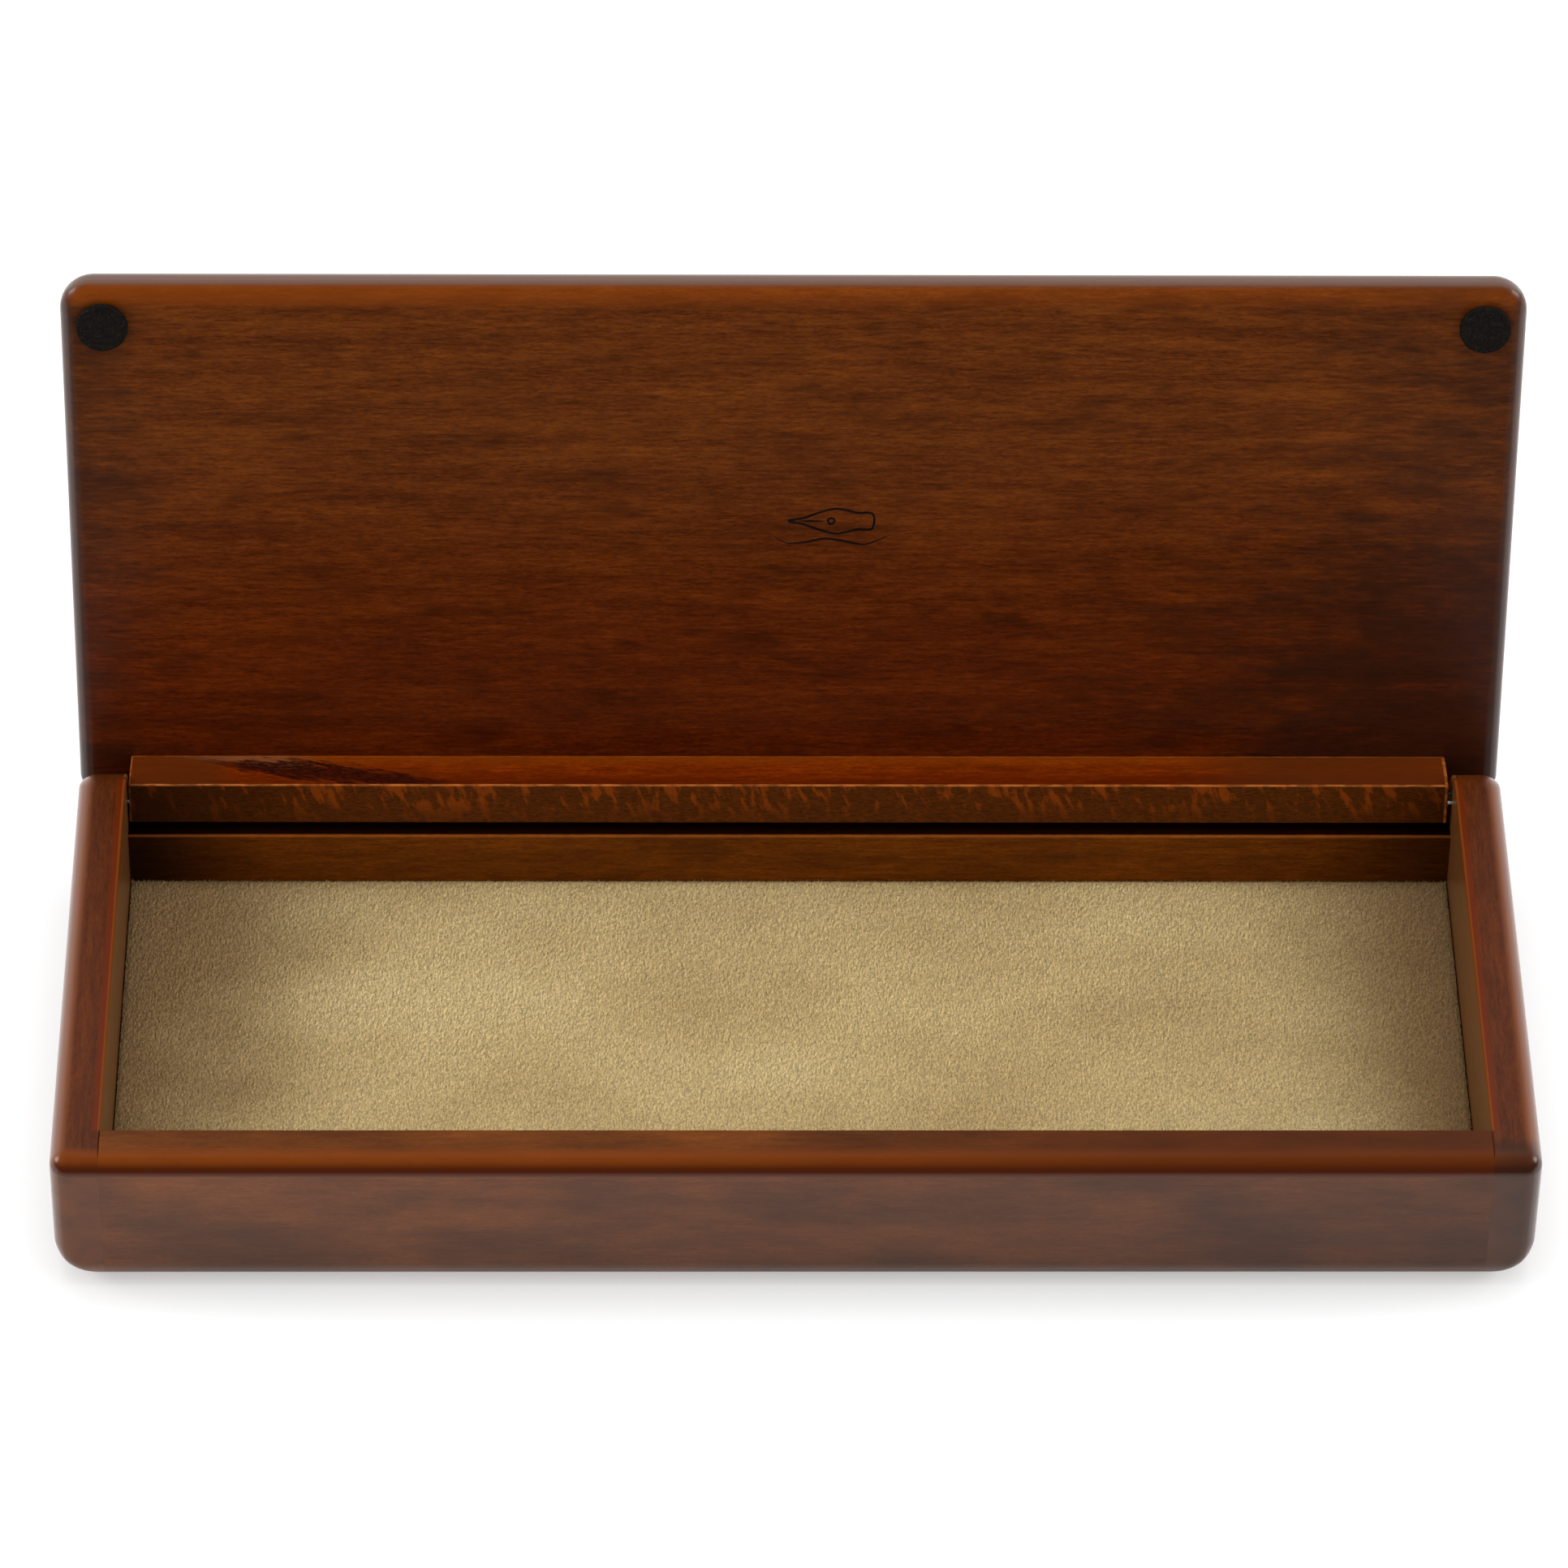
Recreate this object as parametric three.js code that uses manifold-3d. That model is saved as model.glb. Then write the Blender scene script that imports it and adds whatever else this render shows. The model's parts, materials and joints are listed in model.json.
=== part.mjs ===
// Fountain pen case: a shallow wooden tray with a suede floor and a one-board lid, which turns on two hidden
// pins through a hinge rail under its rear edge. Millimetres, +X right, +Y back, +Z up. The origin is on the
// underside, at the middle of the tray. The lid stands open, at rest on its stop.
import * as THREE from "three";
import { mergeVertices } from "three/addons/utils/BufferGeometryUtils.js";
import Module from "manifold-3d";

const wasm = await Module();
wasm.setup();

// Driving dimensions.
const TRAY_WIDTH = 240;
const TRAY_DEPTH = 98.5;
const TRAY_HEIGHT = 27.8;
const WALL = 8; // side walls and front wall
const REAR_WALL = 8.6;
const REAR_WALL_HEIGHT = 16.6; // low, so that the hinge rail can turn above it
const CORNER_RADIUS = 3; // upright front corners of the tray
const REAR_CORNER_RADIUS = 4.2; // upright rear corners of the tray
const RIM_RADIUS = 2.8; // outer edge of the rim
const BASE_RADIUS = 5.5; // front and rear edges of the base
const BASE_SIDE_RADIUS = 9; // side edges of the base
const SHOULDER_RADIUS = 8.7; // rear top corner of each side wall
const JOINT_LINE = 0.1; // between two pieces that are glued together

const BOTTOM_THICKNESS = 3.5;
const REBATE = 2; // how far the bottom panel reaches under the walls
const LINER_THICKNESS = 2.2;
const LINER_FIT = 0.4; // round the liner board, where the wrapped edge of the suede goes
const SUEDE_THICKNESS = 0.8;
const SUEDE_FIT = 0.15;

const LID_WIDTH = 241.2;
const LID_THICKNESS = 8.2;
const LID_CORNER_RADIUS = 5.4; // upright front corners of the lid
const LID_REAR_CORNER_RADIUS = 2.5; // upright corners of the lid, at the hinge
const LID_INNER_RADIUS = 2.8;
const LID_OUTER_RADIUS = 5;
const LID_GAP = 1.6; // between the rim and the shut lid
const OPEN_ANGLE = THREE.MathUtils.degToRad(99.6); // from shut to the stop on the rear wall

const PIVOT_FROM_REAR = 4.4; // hinge axis to the rear faces of the tray, the rail and the lid
const PIVOT_TO_LID = 7.2; // hinge axis to the inner face of the lid
const RAIL_DEPTH = 9.2;
const RAIL_IN_FRONT = 3.3; // of the hinge axis
const RAIL_PLAY_LEFT = 0.3;
const RAIL_PLAY_RIGHT = 0.7;
const EASED_EDGE = 0.4;

const PIN_RADIUS = 0.9;
const PIN_IN_RAIL = 9;
const PIN_IN_WALL = 4.5;

const DOWEL_RADIUS = 1.5;
const DOWEL_IN_SIDE_WALL = 4.5;
const DOWEL_IN_WALL_END = 8;
const FRONT_DOWEL_HEIGHTS = { lower: 9, upper: 20.5 };
const REAR_DOWEL_HEIGHTS = { lower: 7.5, upper: 13 };
const DOWEL_IN_LID = 4;
const DOWEL_IN_RAIL = 5;
const RAIL_DOWEL_PLACES = { left: -80, middle: 0, right: 80 };

const BORE_FIT = 0.06; // from a round piece to the flats of its hole
const BORE_END = 0.3; // left free at the end of a blind hole

const PAD_RADIUS = 4.3;
const PAD_THICKNESS = 1.1;
const ADHESIVE_RADIUS = 4.1;
const ADHESIVE_THICKNESS = 0.2;
const PAD_FROM_SIDE = 7; // edge of the lid to the middle of a pad
const PAD_FROM_FRONT = 7.2;

const ARC_STEPS = 6; // in a quarter turn of a rounded edge
const ROUND_SIDES = 24; // of a pin, a dowel, a pad and their holes

// Places that follow from them.
const halfWidth = TRAY_WIDTH / 2;
const halfDepth = TRAY_DEPTH / 2;
const insideX = halfWidth - WALL;
const frontInside = -halfDepth + WALL;
const rearInside = halfDepth - REAR_WALL;
const pivotY = halfDepth - PIVOT_FROM_REAR;
const pivotZ = TRAY_HEIGHT + LID_GAP - PIVOT_TO_LID;
const railEnds = [-insideX + RAIL_PLAY_LEFT, insideX - RAIL_PLAY_RIGHT];

const X = new THREE.Vector3(1, 0, 0);
const Y = new THREE.Vector3(0, 1, 0);
const Z = new THREE.Vector3(0, 0, 1);
// For a prism along each axis: where the outline's two axes and the prism's own axis point.
const PRISM_FRAMES = {
  x: new THREE.Matrix4().makeBasis(Y, Z, X),
  y: new THREE.Matrix4().makeBasis(X, Z, Y.clone().negate()),
  z: new THREE.Matrix4().makeBasis(X, Y, Z),
};

const FINISHES = {
  stainedWood: { color: 0x5a2d14, roughness: 0.4, metalness: 0 },
  plywood: { color: 0x8a5a34, roughness: 0.7, metalness: 0 },
  dowelWood: { color: 0xc39a66, roughness: 0.8, metalness: 0 },
  greyboard: { color: 0x8d8779, roughness: 0.9, metalness: 0 },
  suede: { color: 0xb4a06e, roughness: 0.95, metalness: 0 },
  felt: { color: 0x191612, roughness: 1, metalness: 0 },
  adhesive: { color: 0xd8d2c0, roughness: 0.6, metalness: 0 },
  steel: { color: 0x9a9a9a, roughness: 0.35, metalness: 1 },
};

// A rectangle's outline, anticlockwise from its low left corner, with a radius for each corner.
function roundedRectangle([left, right], [low, high], radii) {
  const corners = [
    { x: left, y: low, inwardX: 1, inwardY: 1 },
    { x: right, y: low, inwardX: -1, inwardY: 1 },
    { x: right, y: high, inwardX: -1, inwardY: -1 },
    { x: left, y: high, inwardX: 1, inwardY: -1 },
  ];
  const points = [];
  corners.forEach(({ x, y, inwardX, inwardY }, i) => {
    const radius = radii[i];
    const steps = radius > 0 ? ARC_STEPS : 0;
    for (let step = 0; step <= steps; step++) {
      const angle = Math.PI + (i + (steps ? step / steps : 0)) * (Math.PI / 2);
      const px = x + radius * (inwardX + Math.cos(angle));
      const py = y + radius * (inwardY + Math.sin(angle));
      points.push(new THREE.Vector2(px, py));
    }
  });
  return points;
}

function solidOf(geometry) {
  geometry.deleteAttribute("normal");
  geometry.deleteAttribute("uv");
  const merged = mergeVertices(geometry);
  const mesh = new wasm.Mesh({
    numProp: 3,
    vertProperties: merged.attributes.position.array,
    triVerts: new Uint32Array(merged.index.array),
  });
  return new wasm.Manifold(mesh);
}

function prism(axis, outline, [from, to]) {
  const geometry = new THREE.ExtrudeGeometry(new THREE.Shape(outline), {
    depth: to - from,
    bevelEnabled: false,
  });
  geometry.translate(0, 0, axis === "y" ? -to : from);
  return solidOf(geometry.applyMatrix4(PRISM_FRAMES[axis]));
}

function box(xs, ys, zs) {
  const size = [xs, ys, zs].map(([from, to]) => to - from);
  const centre = [xs, ys, zs].map(([from, to]) => (from + to) / 2);
  return solidOf(new THREE.BoxGeometry(...size).translate(...centre));
}

// A round bar along X through (y, z).
function rodAlongX(radius, [from, to], y, z) {
  const bar = new THREE.CylinderGeometry(radius, radius, to - from, ROUND_SIDES);
  return solidOf(bar.rotateZ(Math.PI / 2).translate((from + to) / 2, y, z));
}

// A round bar along Z through (x, y).
function rodAlongZ(radius, x, y, [from, to]) {
  const bar = new THREE.CylinderGeometry(radius, radius, to - from, ROUND_SIDES);
  return solidOf(bar.rotateX(Math.PI / 2).translate(x, y, (from + to) / 2));
}

function boreRadius(radius) {
  return (radius + BORE_FIT) / Math.cos(Math.PI / ROUND_SIDES);
}

function piece(name, solid, finish) {
  const { numProp, vertProperties, triVerts } = solid.getMesh();
  const geometry = new THREE.BufferGeometry();
  geometry.setAttribute("position", new THREE.BufferAttribute(vertProperties, numProp));
  geometry.setIndex(new THREE.BufferAttribute(triVerts, 1));
  const material = new THREE.MeshStandardMaterial({ ...FINISHES[finish], flatShading: true });
  const mesh = new THREE.Mesh(geometry, material);
  mesh.name = name;
  return mesh;
}

// The tray as one rounded block, which each wall is a part of.
function trayBlock() {
  const across = [-halfWidth, halfWidth];
  const along = [-halfDepth, halfDepth];
  const up = [0, TRAY_HEIGHT];
  const frontView = roundedRectangle(across, up, [BASE_SIDE_RADIUS, BASE_SIDE_RADIUS, RIM_RADIUS, RIM_RADIUS]);
  const sideView = roundedRectangle(along, up, [BASE_RADIUS, BASE_RADIUS, SHOULDER_RADIUS, RIM_RADIUS]);
  const rearCorners = [REAR_CORNER_RADIUS, REAR_CORNER_RADIUS];
  const topView = roundedRectangle(across, along, [CORNER_RADIUS, CORNER_RADIUS, ...rearCorners]);
  return prism("y", frontView, along)
    .intersect(prism("x", sideView, across))
    .intersect(prism("z", topView, up));
}

function panelSeat() {
  return box(
    [-insideX - REBATE, insideX + REBATE],
    [frontInside - REBATE, rearInside + REBATE],
    [-BOTTOM_THICKNESS, BOTTOM_THICKNESS + JOINT_LINE],
  );
}

// The dowels that join the front and rear walls to the side walls, with the range each fills along X.
function wallDowels() {
  const corners = [];
  for (const [side, sign] of [["left", -1], ["right", 1]]) {
    for (const [end, y, heights] of [
      ["front", (-halfDepth + frontInside) / 2, FRONT_DOWEL_HEIGHTS],
      ["rear", (rearInside + halfDepth) / 2, REAR_DOWEL_HEIGHTS],
    ]) {
      for (const [level, z] of Object.entries(heights)) {
        const ends = [sign * (insideX - DOWEL_IN_WALL_END), sign * (insideX + DOWEL_IN_SIDE_WALL)];
        ends.sort((a, b) => a - b);
        corners.push({ name: `${end}_${side}_dowel_${level}`, ends, y, z });
      }
    }
  }
  return corners;
}

// The hinge pins, pressed into the ends of the rail and turning in blind holes in the side walls.
function hingePins() {
  const [railLeft, railRight] = railEnds;
  return [
    { name: "hinge_pin_left", ends: [-insideX - PIN_IN_WALL, railLeft + PIN_IN_RAIL] },
    { name: "hinge_pin_right", ends: [railRight - PIN_IN_RAIL, insideX + PIN_IN_WALL] },
  ];
}

function boresAlongX(radius, bars, centreOf) {
  return bars.map((bar) => {
    const [from, to] = bar.ends;
    const { y, z } = centreOf(bar);
    return rodAlongX(boreRadius(radius), [from - BORE_END, to + BORE_END], y, z);
  });
}

function drilled(solid, bores) {
  return bores.reduce((rest, bore) => rest.subtract(bore), solid);
}

function buildTray() {
  const tray = new THREE.Group();
  const block = trayBlock();
  const seat = panelSeat();
  const dowels = wallDowels();
  const dowelBores = boresAlongX(DOWEL_RADIUS, dowels, (dowel) => dowel);
  const pinBores = boresAlongX(PIN_RADIUS, hingePins(), () => ({ y: pivotY, z: pivotZ }));

  const wholeDepth = [-halfDepth, halfDepth];
  const betweenSides = [-insideX + JOINT_LINE, insideX - JOINT_LINE];
  const walls = {
    left_side_wall: box([-halfWidth, -insideX], wholeDepth, [0, TRAY_HEIGHT]),
    right_side_wall: box([insideX, halfWidth], wholeDepth, [0, TRAY_HEIGHT]),
    front_wall: box(betweenSides, [-halfDepth, frontInside], [0, TRAY_HEIGHT]),
    rear_wall: box(betweenSides, [rearInside, halfDepth], [0, REAR_WALL_HEIGHT]),
  };
  for (const [name, blank] of Object.entries(walls)) {
    const wall = blank.intersect(block).subtract(seat);
    tray.add(piece(name, drilled(wall, [...dowelBores, ...pinBores]), "stainedWood"));
  }
  for (const { name, ends, y, z } of dowels) {
    tray.add(piece(name, rodAlongX(DOWEL_RADIUS, ends, y, z), "dowelWood"));
  }

  const panelReach = REBATE - JOINT_LINE;
  const bottom = box(
    [-insideX - panelReach, insideX + panelReach],
    [frontInside - panelReach, rearInside + panelReach],
    [0, BOTTOM_THICKNESS],
  ).intersect(block);
  tray.add(piece("bottom_panel", bottom, "plywood"));

  const floorPlate = (fit, zs) =>
    box([-insideX + fit, insideX - fit], [frontInside + fit, rearInside - fit], zs);
  const linerBase = BOTTOM_THICKNESS + JOINT_LINE;
  const suedeBase = linerBase + LINER_THICKNESS + JOINT_LINE;
  const liner = floorPlate(LINER_FIT, [linerBase, linerBase + LINER_THICKNESS]);
  const suede = floorPlate(SUEDE_FIT, [suedeBase, suedeBase + SUEDE_THICKNESS]);
  tray.add(piece("liner_board", liner, "greyboard"));
  tray.add(piece("suede_lining", suede, "suede"));
  return tray;
}

// The lid, built shut with the hinge axis as its origin, then turned open.
function buildLid() {
  const lid = new THREE.Group();
  const across = [-LID_WIDTH / 2, LID_WIDTH / 2];
  const along = [PIVOT_FROM_REAR - TRAY_DEPTH, PIVOT_FROM_REAR];
  const up = [PIVOT_TO_LID, PIVOT_TO_LID + LID_THICKNESS];
  const outer = [LID_OUTER_RADIUS, LID_OUTER_RADIUS];
  const frontView = roundedRectangle(across, up, [LID_INNER_RADIUS, LID_INNER_RADIUS, ...outer]);
  const sideView = roundedRectangle(along, up, [LID_INNER_RADIUS, EASED_EDGE, ...outer]);
  const rearCorners = [LID_REAR_CORNER_RADIUS, LID_REAR_CORNER_RADIUS];
  const topView = roundedRectangle(across, along, [LID_CORNER_RADIUS, LID_CORNER_RADIUS, ...rearCorners]);
  const board = prism("y", frontView, along)
    .intersect(prism("x", sideView, across))
    .intersect(prism("z", topView, up));

  const railSection = roundedRectangle(
    [-RAIL_IN_FRONT, PIVOT_FROM_REAR],
    [PIVOT_TO_LID - RAIL_DEPTH, PIVOT_TO_LID - JOINT_LINE],
    [EASED_EDGE, EASED_EDGE, 0, 0],
  );
  const rail = prism("x", railSection, railEnds);

  const dowelY = (PIVOT_FROM_REAR - RAIL_IN_FRONT) / 2;
  const dowelZs = [PIVOT_TO_LID - DOWEL_IN_RAIL, PIVOT_TO_LID + DOWEL_IN_LID];
  const boreZs = [dowelZs[0] - BORE_END, dowelZs[1] + BORE_END];
  const dowelPlaces = Object.entries(RAIL_DOWEL_PLACES);
  const dowelBores = dowelPlaces.map(([, x]) => rodAlongZ(boreRadius(DOWEL_RADIUS), x, dowelY, boreZs));
  const pinBores = boresAlongX(PIN_RADIUS, hingePins(), () => ({ y: 0, z: 0 }));

  lid.add(piece("lid_board", drilled(board, dowelBores), "stainedWood"));
  lid.add(piece("hinge_rail", drilled(rail, [...dowelBores, ...pinBores]), "stainedWood"));
  for (const [place, x] of dowelPlaces) {
    const dowel = rodAlongZ(DOWEL_RADIUS, x, dowelY, dowelZs);
    lid.add(piece(`rail_dowel_${place}`, dowel, "dowelWood"));
  }
  for (const { name, ends } of hingePins()) {
    lid.add(piece(name, rodAlongX(PIN_RADIUS, ends, 0, 0), "steel"));
  }

  const adhesiveTop = PIVOT_TO_LID - JOINT_LINE;
  const padTop = adhesiveTop - ADHESIVE_THICKNESS - JOINT_LINE;
  const padY = along[0] + PAD_FROM_FRONT;
  for (const [side, sign] of [["left", -1], ["right", 1]]) {
    const padX = sign * (LID_WIDTH / 2 - PAD_FROM_SIDE);
    const adhesiveZs = [adhesiveTop - ADHESIVE_THICKNESS, adhesiveTop];
    const adhesive = rodAlongZ(ADHESIVE_RADIUS, padX, padY, adhesiveZs);
    const pad = rodAlongZ(PAD_RADIUS, padX, padY, [padTop - PAD_THICKNESS, padTop]);
    lid.add(piece(`pad_adhesive_${side}`, adhesive, "adhesive"));
    lid.add(piece(`felt_pad_${side}`, pad, "felt"));
  }
  lid.position.set(0, pivotY, pivotZ);
  lid.rotation.x = -OPEN_ANGLE;
  return lid;
}

const group = new THREE.Group();
group.add(buildTray(), buildLid());

export default group;
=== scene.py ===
# Fountain pen case: the looks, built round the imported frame. Everything is in metres in the frame's own axes;
# sizes written in millimetres are named as such and scaled once, when a mesh is made.
import json
import math
import random

import bmesh
import bpy
import numpy as np
from mathutils import Matrix, Vector, noise


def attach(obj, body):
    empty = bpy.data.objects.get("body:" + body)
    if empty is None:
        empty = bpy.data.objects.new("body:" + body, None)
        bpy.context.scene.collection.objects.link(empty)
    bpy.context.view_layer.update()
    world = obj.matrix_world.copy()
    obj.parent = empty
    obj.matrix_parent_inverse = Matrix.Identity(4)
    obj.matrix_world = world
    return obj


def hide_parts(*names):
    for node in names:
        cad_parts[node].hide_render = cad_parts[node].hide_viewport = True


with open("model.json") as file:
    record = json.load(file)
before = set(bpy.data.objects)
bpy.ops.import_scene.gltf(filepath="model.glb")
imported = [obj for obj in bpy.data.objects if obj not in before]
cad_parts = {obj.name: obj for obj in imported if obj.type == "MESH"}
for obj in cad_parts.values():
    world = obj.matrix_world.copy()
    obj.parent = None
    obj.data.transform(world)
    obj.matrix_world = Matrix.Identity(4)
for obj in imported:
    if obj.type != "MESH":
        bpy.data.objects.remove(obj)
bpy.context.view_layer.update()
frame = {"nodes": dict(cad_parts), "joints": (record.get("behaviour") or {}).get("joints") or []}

MM = 0.001
PROJECT = bpy.context.scene.collection

# Rounded edges, in millimetres: the same radii as in the CAD, with more steps.
CORNER_RADIUS = 3.0
REAR_CORNER_RADIUS = 4.2
BASE_SIDE_RADIUS = 9.0
RIM_RADIUS = 2.8
BASE_RADIUS = 5.5
SHOULDER_RADIUS = 8.7
LID_CORNER_RADIUS = 5.4
LID_REAR_CORNER_RADIUS = 2.5
LID_INNER_RADIUS = 2.8
LID_OUTER_RADIUS = 5.0
EASED_EDGE = 0.4
# Where two walls meet, and the least that a corner or a wall's foot narrows to.
SEAM_EDGE = 0.02
LEAST_CORNER = 0.8
LEAST_FOOT = 0.25
# Round the bottom panel in its seat, and how far the cross walls reach over their joint lines.
SEAT_FIT = 0.1
WALL_OVERLAP = 0.1
# Steps of the arcs, and the angle in degrees above which an edge is shaded sharp.
ARC_STEPS = 10
EASE_STEPS = 4
WALL_CORNER_STEPS = 6
LID_CORNER_STEPS = 8
RAIL_CORNER_STEPS = 5
SMOOTH_ANGLE = 30

# The photograph's camera: angles in degrees, place, lens and sensor in millimetres, reach in metres.
CAMERA_PITCH = 42.176
CAMERA_YAW = 1.168
CAMERA_ROLL = 0.828
CAMERA_PLACE = (-21.92, -976.92, 950.67)
CAMERA_LENS = 187.33
CAMERA_SENSOR = 36
CAMERA_REACH = 20

WORLD_LIGHT = 0.95
BACK_LIGHT = 1.1
FRONT_LIGHT = 0.04

HINGE = frame["joints"][0]
PIVOT = Vector(HINGE["pos_m"]) / MM
OPEN_ANGLE = math.radians(HINGE["range_deg"][1])
# From the shut lid's own axes, with the hinge axis as their origin, to the lid's place at rest.
LID_FRAME = Matrix.Translation(PIVOT) @ Matrix.Rotation(-OPEN_ANGLE, 4, "X")


# ---------------------------------------------------------------- camera, floor and light

def make_camera():
    pitch, yaw, roll = (math.radians(angle) for angle in (CAMERA_PITCH, CAMERA_YAW, CAMERA_ROLL))
    forward = Vector((math.sin(yaw) * math.cos(pitch), math.cos(yaw) * math.cos(pitch), -math.sin(pitch)))
    level = Vector((math.cos(yaw), -math.sin(yaw), 0))
    upright = level.cross(forward)
    right = level * math.cos(roll) + upright * math.sin(roll)
    up = upright * math.cos(roll) - level * math.sin(roll)
    data = bpy.data.cameras.new("camera")
    data.sensor_width = CAMERA_SENSOR
    data.lens = CAMERA_LENS
    data.clip_end = CAMERA_REACH
    camera = bpy.data.objects.new("camera", data)
    axes = Matrix((right, up, -forward)).transposed().to_4x4()
    camera.matrix_world = Matrix.Translation(Vector(CAMERA_PLACE) * MM) @ axes
    PROJECT.objects.link(camera)
    bpy.context.scene.camera = camera


def make_plane(name, centre, across, along):
    """A flat rectangle in metres, with its middle at centre and the half sides across and along."""
    corners = [centre + across * i + along * j for i, j in ((-1, -1), (1, -1), (1, 1), (-1, 1))]
    mesh = bpy.data.meshes.new(name)
    mesh.from_pydata([tuple(c) for c in corners], [], [(0, 1, 2, 3)])
    plane = bpy.data.objects.new(name, mesh)
    PROJECT.objects.link(plane)
    return plane


def plain_material(name, colour, glow=0.0):
    material = bpy.data.materials.new(name)
    material.use_nodes = True
    shader = material.node_tree.nodes["Principled BSDF"]
    shader.inputs["Base Color"].default_value = (*colour, 1)
    shader.inputs["Roughness"].default_value = 1.0
    shader.inputs["Specular IOR Level"].default_value = 0.0
    shader.inputs["Emission Color"].default_value = (1, 1, 1, 1)
    shader.inputs["Emission Strength"].default_value = glow
    return material


def make_softbox(name, place, target, size, power, in_gloss=True):
    data = bpy.data.lights.new(name, "AREA")
    data.shape = "RECTANGLE"
    data.size, data.size_y = size
    data.energy = power
    light = bpy.data.objects.new(name, data)
    light.visible_glossy = in_gloss
    light.location = place
    light.rotation_euler = (Vector(target) - Vector(place)).to_track_quat("-Z", "Y").to_euler()
    PROJECT.objects.link(light)


def make_world():
    """White all round, except that gloss sees a dark room in front of the case, as in a studio."""
    world = bpy.data.worlds.new("studio")
    world.use_nodes = True
    nodes, links = world.node_tree.nodes, world.node_tree.links
    direction = nodes.new("ShaderNodeTexCoord")
    parts = nodes.new("ShaderNodeSeparateXYZ")
    links.new(direction.outputs["Generated"], parts.inputs[0])
    gloss = nodes.new("ShaderNodeMapRange")
    gloss.interpolation_type = "SMOOTHSTEP"
    links.new(parts.outputs["Y"], gloss.inputs["Value"])
    gloss.inputs["From Min"].default_value = -0.12
    gloss.inputs["From Max"].default_value = 0.45
    gloss.inputs["To Min"].default_value = FRONT_LIGHT
    gloss.inputs["To Max"].default_value = BACK_LIGHT
    rays = nodes.new("ShaderNodeLightPath")
    choice = nodes.new("ShaderNodeMix")
    links.new(rays.outputs["Is Glossy Ray"], choice.inputs["Factor"])
    choice.inputs[2].default_value = WORLD_LIGHT
    links.new(gloss.outputs["Result"], choice.inputs[3])
    links.new(choice.outputs[0], nodes["Background"].inputs["Strength"])
    nodes["Background"].inputs["Color"].default_value = (1, 1, 1, 1)
    bpy.context.scene.world = world


def make_studio():
    floor = make_plane("floor", Vector((0, 0, 0)), Vector((8, 0, 0)), Vector((0, 8, 0)))
    floor.data.materials.append(plain_material("floor_paper", (0.64, 0.64, 0.64), glow=0.37))
    # Black card in front of the case: only the gloss of the wood sees it.
    card = make_plane("black_card", Vector((0, -0.83, 0.001)), Vector((0.9, 0, 0)), Vector((0, 0.7, 0)))
    card.data.materials.append(plain_material("card_black", (0.002, 0.002, 0.002)))
    card.visible_camera = False
    card.visible_diffuse = False
    card.visible_shadow = False
    card.visible_transmission = False
    make_world()
    make_softbox("softbox_top", (0.0, 0.15, 1.3), (0, 0, 0), size=(0.9, 0.6), power=5, in_gloss=False)
    for name, side in (("softbox_left", -1), ("softbox_right", 1)):
        make_softbox(name, (1.1 * side, 0.1, 0.55), (0, 0, 0.05), size=(0.5, 0.5), power=4)
    bpy.context.scene.view_settings.view_transform = "Standard"
    bpy.context.scene.view_settings.look = "None"


make_camera()
make_studio()


# ---------------------------------------------------------------- meshes

def rounded_outline(corners, steps=ARC_STEPS):
    """Points of a polygon given anticlockwise as (x, y, radius), steps + 1 of them at each corner."""
    points = []
    for i, (x, y, radius) in enumerate(corners):
        at = Vector((x, y))
        if radius == 0:
            points += [at] * (steps + 1)
            continue
        back = (Vector(corners[i - 1][:2]) - at).normalized()
        on = (Vector(corners[(i + 1) % len(corners)][:2]) - at).normalized()
        half = back.angle(on) / 2
        centre = at + (back + on).normalized() * radius / math.sin(half)
        start = at + back * radius / math.tan(half) - centre
        end = at + on * radius / math.tan(half) - centre
        sweep = start.angle_signed(end)
        for step in range(steps + 1):
            turn = -sweep * step / steps
            cos, sin = math.cos(turn), math.sin(turn)
            points.append(centre + Vector((start.x * cos - start.y * sin, start.x * sin + start.y * cos)))
    return [(p.x, p.y) for p in points]


def new_piece(name, bm, body, materials, frame_of=Matrix.Identity(4)):
    """Turns a bmesh in millimetres into a piece that rides on body."""
    bmesh.ops.remove_doubles(bm, verts=bm.verts, dist=1e-5)
    bmesh.ops.dissolve_degenerate(bm, edges=bm.edges, dist=1e-6)
    bmesh.ops.recalc_face_normals(bm, faces=bm.faces)
    bm.transform(Matrix.Scale(MM, 4) @ frame_of)
    mesh = bpy.data.meshes.new(name)
    bm.to_mesh(mesh)
    bm.free()
    for material in materials:
        mesh.materials.append(material)
    mesh.shade_smooth()
    mesh.set_sharp_from_angle(angle=math.radians(SMOOTH_ANGLE))
    piece = bpy.data.objects.new(name, mesh)
    PROJECT.objects.link(piece)
    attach(piece, body)
    return piece


def keep_flats_flat(piece):
    """Shades large flat faces flat beside rounded edges."""
    normals = piece.modifiers.new("flat_faces", "WEIGHTED_NORMAL")
    normals.keep_sharp = True
    normals.weight = 100


def ring_stack(rings):
    """A closed bmesh through rings of points, all with as many points, with a face on each end."""
    bm = bmesh.new()
    loops = [[bm.verts.new(point) for point in ring] for ring in rings]
    for low, high in zip(loops, loops[1:]):
        for i in range(len(low)):
            j = (i + 1) % len(low)
            bm.faces.new((low[i], low[j], high[j], high[i]))
    bm.faces.new(loops[0][::-1])
    bm.faces.new(loops[-1])
    return bm


def arc_inset(height, radius, flat_at, grows=1):
    """How far an edge rounded to radius has drawn in at height, where its arc starts at flat_at."""
    along = min(max(grows * (height - flat_at), 0), radius)
    return radius - math.sqrt(max(radius * radius - along * along, 0))


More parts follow.
